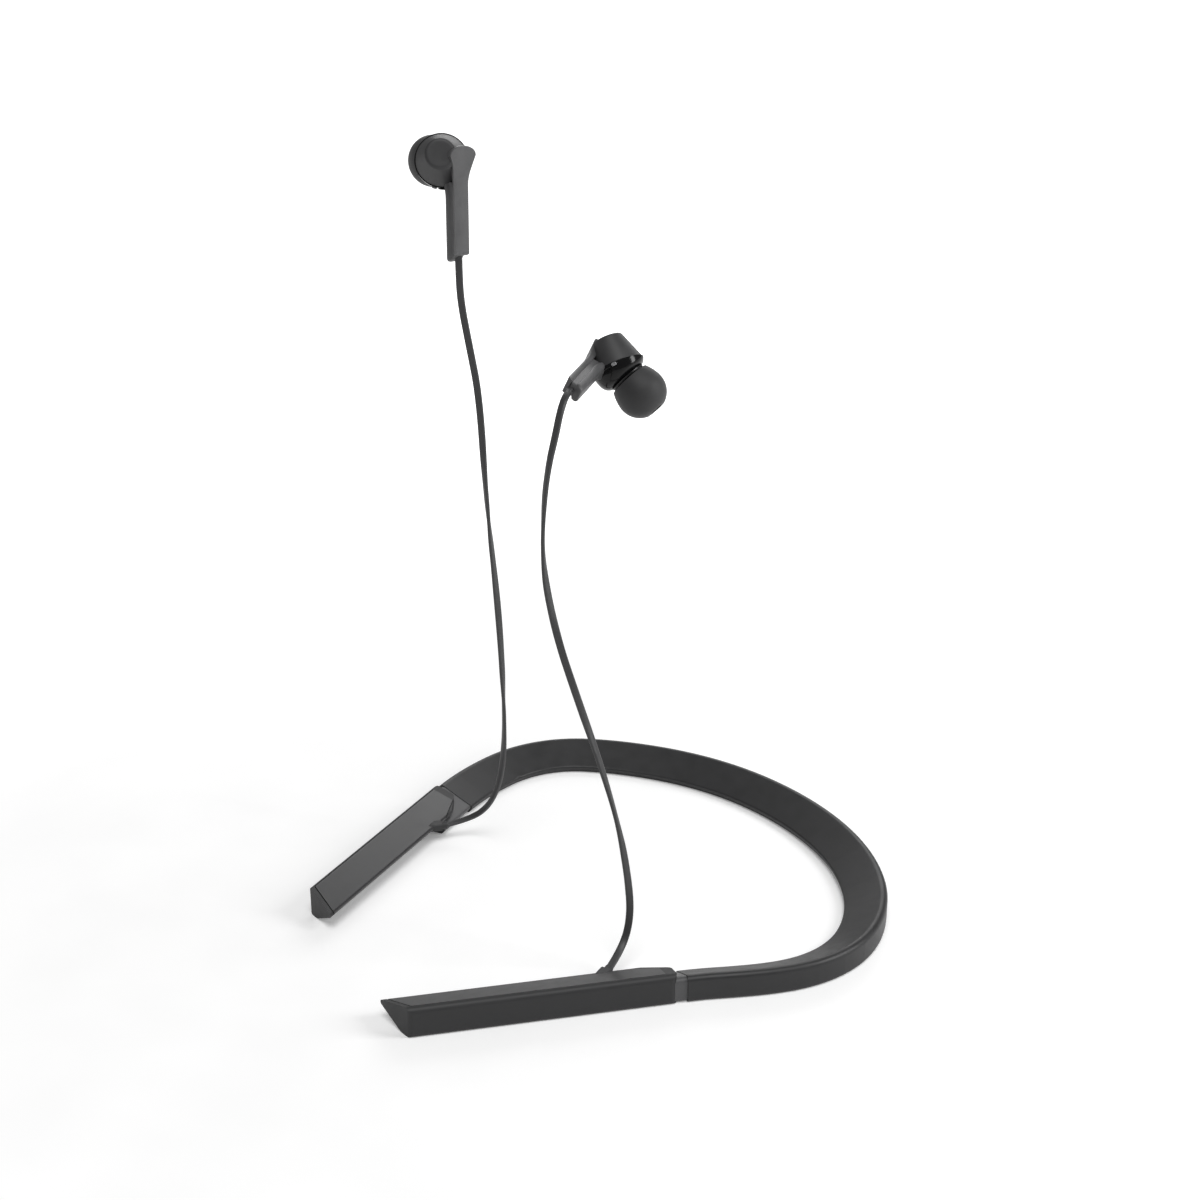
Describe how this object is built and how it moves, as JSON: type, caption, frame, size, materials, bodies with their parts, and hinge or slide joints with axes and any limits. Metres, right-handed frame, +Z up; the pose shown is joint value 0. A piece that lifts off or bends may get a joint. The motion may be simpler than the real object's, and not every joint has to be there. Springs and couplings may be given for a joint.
{
  "type": "neckband earphones",
  "caption": "Wireless neckband earphones: a springy neckband with a control housing on each end and a wired in-ear bud on each side.",
  "frame": {"origin": "on the floor, under the middle of the neckband's box without the cables", "axes": "+X to the wearer's left, the band's open end looks along -Y, +Z up"},
  "size_m": [0.1414, 0.1449, 0.189],
  "materials": {
    "band_rubber": "matte, fine grain",
    "arm_rubber": "matte, fine grain",
    "cover_plastic": "satin",
    "collar_plastic": "satin",
    "grommet_rubber": "matte",
    "cable_jacket": "satin",
    "bud_matte": "fine texture",
    "bud_gloss": "gloss",
    "stem_plate": "satin",
    "stem_matte": "satin",
    "nozzle_plastic": "satin",
    "nozzle_steel": "woven mesh",
    "tip_silicone": "matte silicone",
    "driver_plastic": "satin",
    "magnet": "plated",
    "diaphragm_film": "thin film",
    "spring_steel": "drawn",
    "wire_insulation": "satin",
    "cell_wrap": "satin",
    "circuit_board": "solder mask",
    "tinned_steel": "tinned",
    "switch_metal": "satin",
    "light_pipe": "clear",
    "port_metal": "satin",
    "port_rubber": "matte",
    "screw_steel": "blackened",
    "button_rubber": "matte"
  },
  "bodies": {
    "root": {"band_sleeve": "band_rubber", "band_spring_wire": "spring_steel", "band_wire_bundle": "wire_insulation", "battery": "cell_wrap", "board_screws": "screw_steel", "charging_socket": "port_metal", "control_board": "circuit_board", "left_arm_cover": "cover_plastic", "left_arm_shell": "arm_rubber", "left_cable": "cable_jacket", "left_cable_grommet": "grommet_rubber", "left_collar": "collar_plastic", "left_driver_diaphragm": "diaphragm_film", "left_driver_frame": "driver_plastic", "left_driver_magnet": "magnet", "left_front_housing": "bud_gloss", "left_nozzle": "nozzle_plastic", "left_nozzle_mesh": "nozzle_steel", "left_rear_housing": "bud_matte", "left_stem_body": "stem_matte", "left_stem_plate": "stem_plate", "microphone": "tinned_steel", "protection_board": "circuit_board", "right_arm_cover": "cover_plastic", "right_arm_shell": "arm_rubber", "right_cable": "cable_jacket", "right_cable_grommet": "grommet_rubber", "right_collar": "collar_plastic", "right_driver_diaphragm": "diaphragm_film", "right_driver_frame": "driver_plastic", "right_driver_magnet": "magnet", "right_front_housing": "bud_gloss", "right_nozzle": "nozzle_plastic", "right_nozzle_mesh": "nozzle_steel", "right_rear_housing": "bud_matte", "right_stem_body": "stem_matte", "right_stem_plate": "stem_plate", "status_light_pipe": "light_pipe", "tact_switches": "switch_metal", "wireless_module": "tinned_steel"},
    "volume_up_button": {"volume_up_button": "button_rubber"},
    "play_button": {"play_button": "button_rubber"},
    "volume_down_button": {"volume_down_button": "button_rubber"},
    "port_cover": {"port_cover": "port_rubber"},
    "left_ear_tip": {"left_ear_tip": "tip_silicone"},
    "right_ear_tip": {"right_ear_tip": "tip_silicone"}
  },
  "joints": [
    {"name": "volume_up_button_press", "type": "slide", "parent": "root", "child": "volume_up_button", "axis": [0.8563, 0.5165, 0], "range_m": [0, 0.00025], "stiffness_N_per_m": 2000},
    {"name": "play_button_press", "type": "slide", "parent": "root", "child": "play_button", "axis": [0.8563, 0.5165, 0], "range_m": [0, 0.00025], "stiffness_N_per_m": 2000},
    {"name": "volume_down_button_press", "type": "slide", "parent": "root", "child": "volume_down_button", "axis": [0.8563, 0.5165, 0], "range_m": [0, 0.00025], "stiffness_N_per_m": 2000},
    {"name": "port_cover_swing", "type": "hinge", "parent": "root", "child": "port_cover", "pos_m": [-0.0569, -0.0154, 0.0032], "axis": [0, 0, -1], "range_deg": [0, 110]},
    {"name": "left_ear_tip_pull", "type": "slide", "parent": "root", "child": "left_ear_tip", "axis": [0.6073, 0.3846, -0.6951], "range_m": [0, 0.01]},
    {"name": "right_ear_tip_pull", "type": "slide", "parent": "root", "child": "right_ear_tip", "axis": [-0.9572, 0.2569, -0.1332], "range_m": [0, 0.01]}
  ]
}
